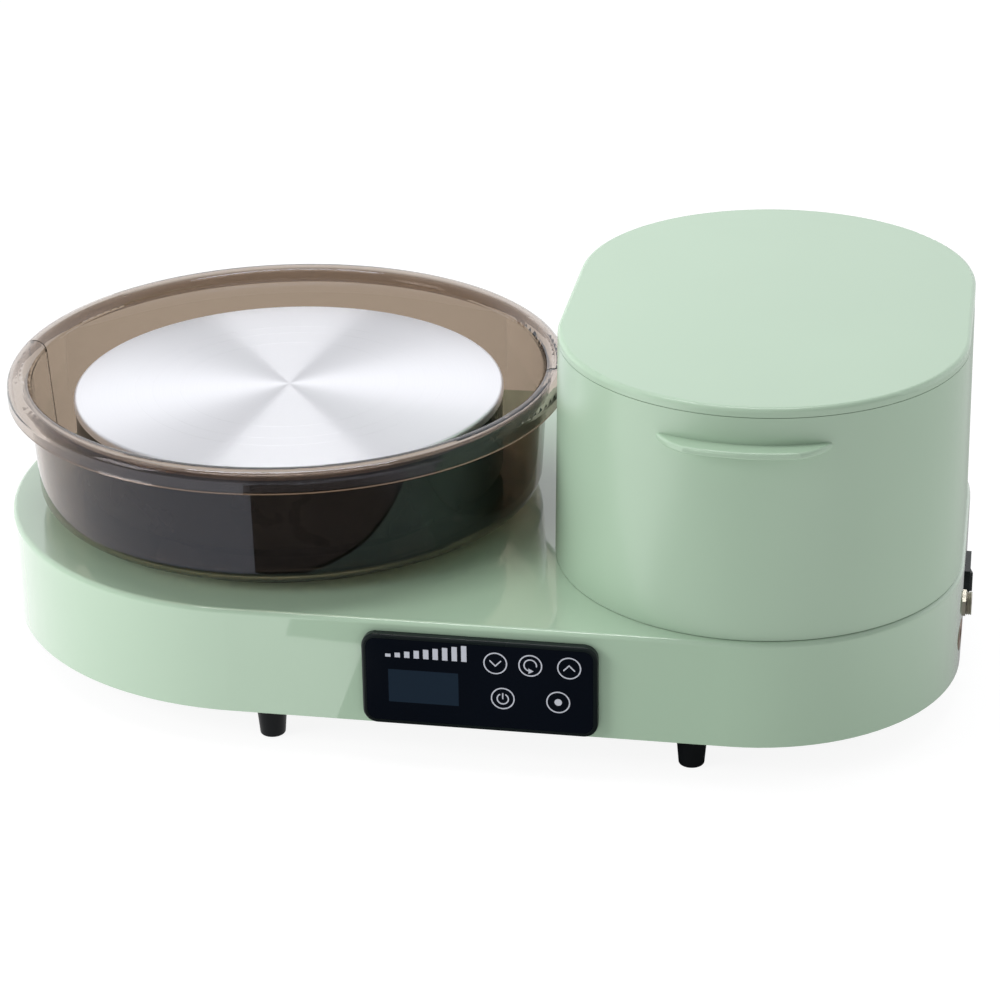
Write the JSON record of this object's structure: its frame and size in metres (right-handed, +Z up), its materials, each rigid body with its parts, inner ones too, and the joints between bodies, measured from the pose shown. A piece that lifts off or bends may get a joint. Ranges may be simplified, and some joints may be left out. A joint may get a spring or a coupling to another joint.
{
  "type": "pottery wheel",
  "caption": "Desktop pottery wheel: round metal wheel head in a smoke-tinted splash pan on a long low base, with a lidded oval storage box, front control panel and side sockets.",
  "frame": {"origin": "on the surface the feet stand on, under the middle of the outline", "axes": "+X from the wheel towards the storage box, +Y from the control panel towards the back, +Z up"},
  "size_m": [0.4974, 0.295, 0.1911],
  "materials": {
    "base_plastic": "gloss moulded ABS, pale mint green",
    "box_plastic": "satin moulded plastic, pale mint green",
    "smoke_plastic": "clear smoke-tinted plastic, polished",
    "black_plastic": "black moulded plastic, fine satin",
    "panel_gloss": "gloss black printed overlay",
    "lens": "dark display window",
    "spun_aluminium": "lathe-turned, fine concentric lines",
    "cast_alloy": "as-cast alloy, machined seats",
    "steel": "ground steel",
    "zinc_steel": "zinc-plated steel",
    "plated_brass": "nickel-plated brass",
    "bronze_ring": "brown plated ring with a pale insulator",
    "rubber": "soft black rubber",
    "belt_rubber": "reinforced flat belt",
    "board_green": "solder-masked board",
    "components": "mixed board components",
    "copper_iron": "laminated iron with copper windings"
  },
  "bodies": {
    "base": {"base_shell": "base_plastic", "bearing_housing": "cast_alloy", "board_components": "components", "board_screws": "zinc_steel", "board_standoffs": "zinc_steel", "bottom_cover": "black_plastic", "bracket_screws": "zinc_steel", "control_board": "board_green", "cover_screws": "zinc_steel", "display_module": "components", "display_window": "lens", "drive_belt": "belt_rubber", "foot_front_left": "rubber", "foot_front_right": "rubber", "foot_rear_left": "rubber", "foot_rear_right": "rubber", "foot_screws": "zinc_steel", "housing_screws": "zinc_steel", "lower_bearing_balls": "steel", "lower_bearing_outer_race": "steel", "motor_bracket": "zinc_steel", "motor_can": "zinc_steel", "motor_end_cap": "zinc_steel", "motor_screws": "zinc_steel", "motor_stator": "copper_iron", "panel_housing": "black_plastic", "panel_overlay": "panel_gloss", "panel_screws": "zinc_steel", "panel_spacers": "zinc_steel", "pedal_socket": "plated_brass", "pedal_socket_insert": "black_plastic", "pedal_socket_nut": "plated_brass", "power_board": "board_green", "power_inlet": "bronze_ring", "power_inlet_nut": "plated_brass", "switch_frame": "black_plastic", "switch_pivot": "steel", "upper_bearing_balls": "steel", "upper_bearing_outer_race": "steel"},
    "wheel": {"wheel_head": "spun_aluminium", "wheel_skirt": "black_plastic", "wheel_hub": "cast_alloy", "hub_screws": "zinc_steel", "skirt_screws": "zinc_steel", "spindle": "steel", "spindle_clip": "steel", "spindle_spacer": "cast_alloy", "upper_bearing_inner_race": "steel", "lower_bearing_inner_race": "steel", "driven_pulley": "black_plastic"},
    "motor_turning": {"motor_rotor": "copper_iron", "motor_shaft": "steel", "motor_pulley": "cast_alloy"},
    "pan_front": {"splash_pan_front": "smoke_plastic"},
    "pan_rear": {"splash_pan_rear": "smoke_plastic"},
    "box": {"storage_box": "box_plastic"},
    "lid": {"storage_lid": "box_plastic"},
    "rocker": {"switch_rocker": "black_plastic"}
  },
  "joints": [
    {"name": "wheel_spin", "type": "hinge", "parent": "base", "child": "wheel", "pos_m": [-0.1037, 0.0025, 0.0985], "axis": [0, 0, 1], "continuous": true},
    {"name": "motor_spin", "type": "hinge", "parent": "base", "child": "motor_turning", "pos_m": [0.0463, 0.0325, 0.05], "axis": [0, 0, 1], "continuous": true},
    {"name": "pan_front_slide", "type": "slide", "parent": "base", "child": "pan_front", "axis": [0, -1, 0], "range_m": [0, 0.15]},
    {"name": "pan_rear_slide", "type": "slide", "parent": "base", "child": "pan_rear", "axis": [0, 1, 0], "range_m": [0, 0.15]},
    {"name": "box_lift", "type": "slide", "parent": "base", "child": "box", "axis": [0, 0, 1], "range_m": [0, 0.12]},
    {"name": "lid_lift", "type": "slide", "parent": "box", "child": "lid", "axis": [0, 0, 1], "range_m": [0, 0.1]},
    {"name": "switch_rock", "type": "hinge", "parent": "base", "child": "rocker", "pos_m": [0.2436, 0.0045, 0.0455], "axis": [0, 0, -1], "range_deg": [0, 15]}
  ],
  "couplings": [
    {"joint": "motor_spin", "follows": "wheel_spin", "ratio": 5}
  ]
}
